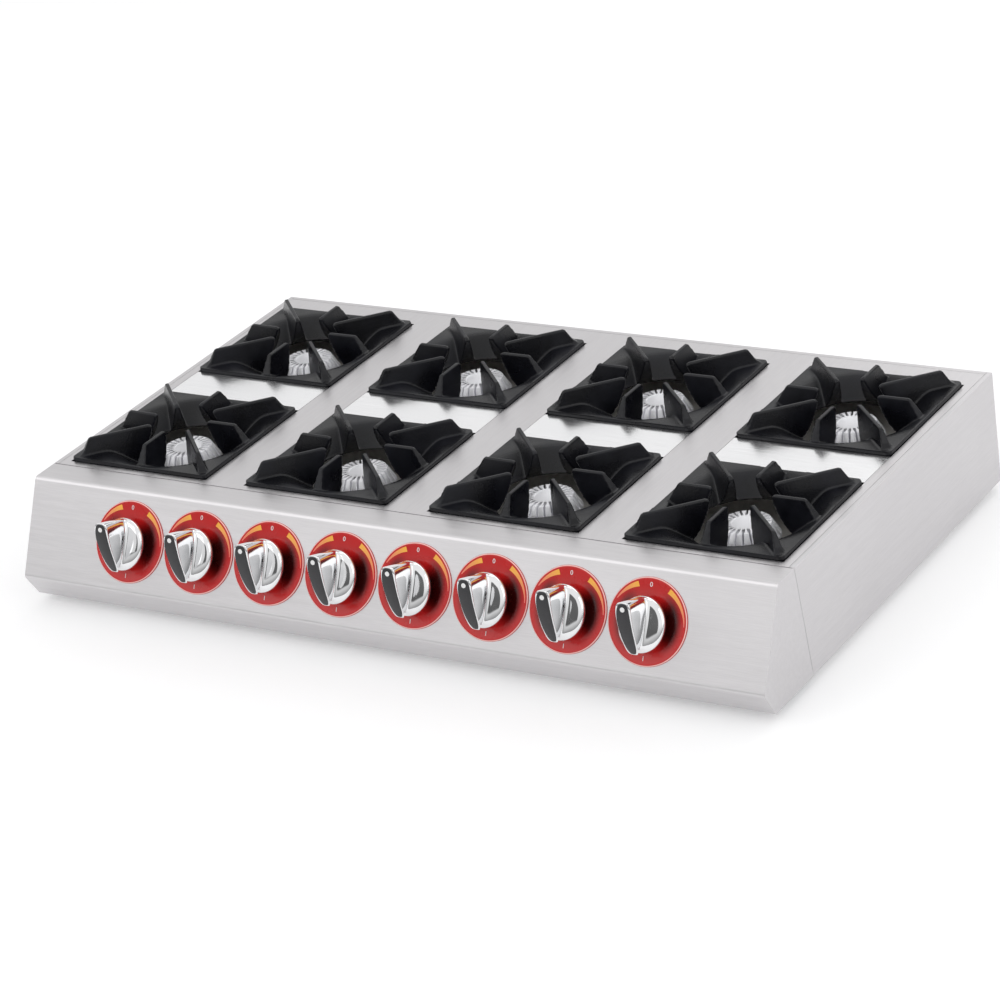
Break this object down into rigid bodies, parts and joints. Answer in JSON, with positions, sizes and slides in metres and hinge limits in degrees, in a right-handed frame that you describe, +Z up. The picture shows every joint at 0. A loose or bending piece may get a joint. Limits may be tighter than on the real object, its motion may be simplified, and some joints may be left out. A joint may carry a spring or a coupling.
{
  "type": "countertop gas stove",
  "caption": "Low wide countertop gas stove: brushed steel casing with a sloping control front, square cast-iron grates over slotted burners in two rows, and lever knobs on red discs.",
  "frame": {"origin": "on the surface that the feet stand on, under the middle of the whole stove", "axes": "+X to the right along the front, seen from the front, +Y towards the back, +Z up; the control front faces -Y"},
  "size_m": [1, 0.6636, 0.175],
  "materials": {
    "stainless": "brushed",
    "tray_steel": "dull",
    "zinc_sheet": "galvanised",
    "cast_iron": "enamelled",
    "burner_iron": "rough cast",
    "crown_aluminium": "machined",
    "knob_chrome": "polished",
    "knob_insert": "satin",
    "bezel_red": "gloss",
    "bezel_marks": "printed",
    "valve_brass": "turned",
    "pipe_steel": "satin",
    "tube_aluminium": "drawn",
    "foot_rubber": "matt",
    "screw_steel": "zinc plated"
  },
  "bodies": {
    "casing": {"front_panel": "stainless", "top_panel": "stainless", "side_panel_left": "stainless", "side_panel_right": "stainless", "back_panel": "stainless", "burner_tray": "tray_steel", "bridge_strip_1": "stainless", "bridge_strip_2": "stainless", "bridge_strip_3": "stainless", "bridge_strip_4": "stainless", "burner_body_1": "burner_iron", "burner_crown_1": "crown_aluminium", "burner_body_2": "burner_iron", "burner_crown_2": "crown_aluminium", "burner_body_3": "burner_iron", "burner_crown_3": "crown_aluminium", "burner_body_4": "burner_iron", "burner_crown_4": "crown_aluminium", "burner_body_5": "burner_iron", "burner_crown_5": "crown_aluminium", "burner_body_6": "burner_iron", "burner_crown_6": "crown_aluminium", "burner_body_7": "burner_iron", "burner_crown_7": "crown_aluminium", "burner_body_8": "burner_iron", "burner_crown_8": "crown_aluminium", "valve_bodies": "valve_brass", "knob_bezels": "bezel_red", "gas_manifold": "pipe_steel", "supply_tubes": "tube_aluminium", "injectors": "valve_brass", "manifold_brackets": "zinc_sheet", "base_plate": "zinc_sheet", "feet": "foot_rubber", "panel_screws": "screw_steel"},
    "grate_1": {"grate_1": "cast_iron"},
    "grate_2": {"grate_2": "cast_iron"},
    "grate_3": {"grate_3": "cast_iron"},
    "grate_4": {"grate_4": "cast_iron"},
    "grate_5": {"grate_5": "cast_iron"},
    "grate_6": {"grate_6": "cast_iron"},
    "grate_7": {"grate_7": "cast_iron"},
    "grate_8": {"grate_8": "cast_iron"},
    "knob_1": {"knob_1": "knob_chrome"},
    "valve_stem_1": {"valve_stem_1": "valve_brass"},
    "knob_2": {"knob_2": "knob_chrome"},
    "valve_stem_2": {"valve_stem_2": "valve_brass"},
    "knob_3": {"knob_3": "knob_chrome"},
    "valve_stem_3": {"valve_stem_3": "valve_brass"},
    "knob_4": {"knob_4": "knob_chrome"},
    "valve_stem_4": {"valve_stem_4": "valve_brass"},
    "knob_5": {"knob_5": "knob_chrome"},
    "valve_stem_5": {"valve_stem_5": "valve_brass"},
    "knob_6": {"knob_6": "knob_chrome"},
    "valve_stem_6": {"valve_stem_6": "valve_brass"},
    "knob_7": {"knob_7": "knob_chrome"},
    "valve_stem_7": {"valve_stem_7": "valve_brass"},
    "knob_8": {"knob_8": "knob_chrome"},
    "valve_stem_8": {"valve_stem_8": "valve_brass"}
  },
  "joints": [
    {"name": "grate_1_lift", "type": "slide", "parent": "casing", "child": "grate_1", "axis": [0, 0, 1], "range_m": [0, 0.1]},
    {"name": "grate_2_lift", "type": "slide", "parent": "casing", "child": "grate_2", "axis": [0, 0, 1], "range_m": [0, 0.1]},
    {"name": "grate_3_lift", "type": "slide", "parent": "casing", "child": "grate_3", "axis": [0, 0, 1], "range_m": [0, 0.1]},
    {"name": "grate_4_lift", "type": "slide", "parent": "casing", "child": "grate_4", "axis": [0, 0, 1], "range_m": [0, 0.1]},
    {"name": "grate_5_lift", "type": "slide", "parent": "casing", "child": "grate_5", "axis": [0, 0, 1], "range_m": [0, 0.1]},
    {"name": "grate_6_lift", "type": "slide", "parent": "casing", "child": "grate_6", "axis": [0, 0, 1], "range_m": [0, 0.1]},
    {"name": "grate_7_lift", "type": "slide", "parent": "casing", "child": "grate_7", "axis": [0, 0, 1], "range_m": [0, 0.1]},
    {"name": "grate_8_lift", "type": "slide", "parent": "casing", "child": "grate_8", "axis": [0, 0, 1], "range_m": [0, 0.1]},
    {"name": "knob_1_turn", "type": "hinge", "parent": "casing", "child": "valve_stem_1", "pos_m": [-0.35, -0.28275, 0.096], "axis": [0, -0.8911, 0.4538], "range_deg": [0, 180]},
    {"name": "knob_1_push", "type": "slide", "parent": "valve_stem_1", "child": "knob_1", "axis": [0, 0.8911, -0.4538], "range_m": [0, 0.003], "stiffness_N_per_m": 1500, "springref_m": -0.004},
    {"name": "knob_2_turn", "type": "hinge", "parent": "casing", "child": "valve_stem_2", "pos_m": [-0.25, -0.28275, 0.096], "axis": [0, -0.8911, 0.4538], "range_deg": [0, 180]},
    {"name": "knob_2_push", "type": "slide", "parent": "valve_stem_2", "child": "knob_2", "axis": [0, 0.8911, -0.4538], "range_m": [0, 0.003], "stiffness_N_per_m": 1500, "springref_m": -0.004},
    {"name": "knob_3_turn", "type": "hinge", "parent": "casing", "child": "valve_stem_3", "pos_m": [-0.15, -0.28275, 0.096], "axis": [0, -0.8911, 0.4538], "range_deg": [0, 180]},
    {"name": "knob_3_push", "type": "slide", "parent": "valve_stem_3", "child": "knob_3", "axis": [0, 0.8911, -0.4538], "range_m": [0, 0.003], "stiffness_N_per_m": 1500, "springref_m": -0.004},
    {"name": "knob_4_turn", "type": "hinge", "parent": "casing", "child": "valve_stem_4", "pos_m": [-0.05, -0.28275, 0.096], "axis": [0, -0.8911, 0.4538], "range_deg": [0, 180]},
    {"name": "knob_4_push", "type": "slide", "parent": "valve_stem_4", "child": "knob_4", "axis": [0, 0.8911, -0.4538], "range_m": [0, 0.003], "stiffness_N_per_m": 1500, "springref_m": -0.004},
    {"name": "knob_5_turn", "type": "hinge", "parent": "casing", "child": "valve_stem_5", "pos_m": [0.05, -0.28275, 0.096], "axis": [0, -0.8911, 0.4538], "range_deg": [0, 180]},
    {"name": "knob_5_push", "type": "slide", "parent": "valve_stem_5", "child": "knob_5", "axis": [0, 0.8911, -0.4538], "range_m": [0, 0.003], "stiffness_N_per_m": 1500, "springref_m": -0.004},
    {"name": "knob_6_turn", "type": "hinge", "parent": "casing", "child": "valve_stem_6", "pos_m": [0.15, -0.28275, 0.096], "axis": [0, -0.8911, 0.4538], "range_deg": [0, 180]},
    {"name": "knob_6_push", "type": "slide", "parent": "valve_stem_6", "child": "knob_6", "axis": [0, 0.8911, -0.4538], "range_m": [0, 0.003], "stiffness_N_per_m": 1500, "springref_m": -0.004},
    {"name": "knob_7_turn", "type": "hinge", "parent": "casing", "child": "valve_stem_7", "pos_m": [0.25, -0.28275, 0.096], "axis": [0, -0.8911, 0.4538], "range_deg": [0, 180]},
    {"name": "knob_7_push", "type": "slide", "parent": "valve_stem_7", "child": "knob_7", "axis": [0, 0.8911, -0.4538], "range_m": [0, 0.003], "stiffness_N_per_m": 1500, "springref_m": -0.004},
    {"name": "knob_8_turn", "type": "hinge", "parent": "casing", "child": "valve_stem_8", "pos_m": [0.35, -0.28275, 0.096], "axis": [0, -0.8911, 0.4538], "range_deg": [0, 180]},
    {"name": "knob_8_push", "type": "slide", "parent": "valve_stem_8", "child": "knob_8", "axis": [0, 0.8911, -0.4538], "range_m": [0, 0.003], "stiffness_N_per_m": 1500, "springref_m": -0.004}
  ]
}
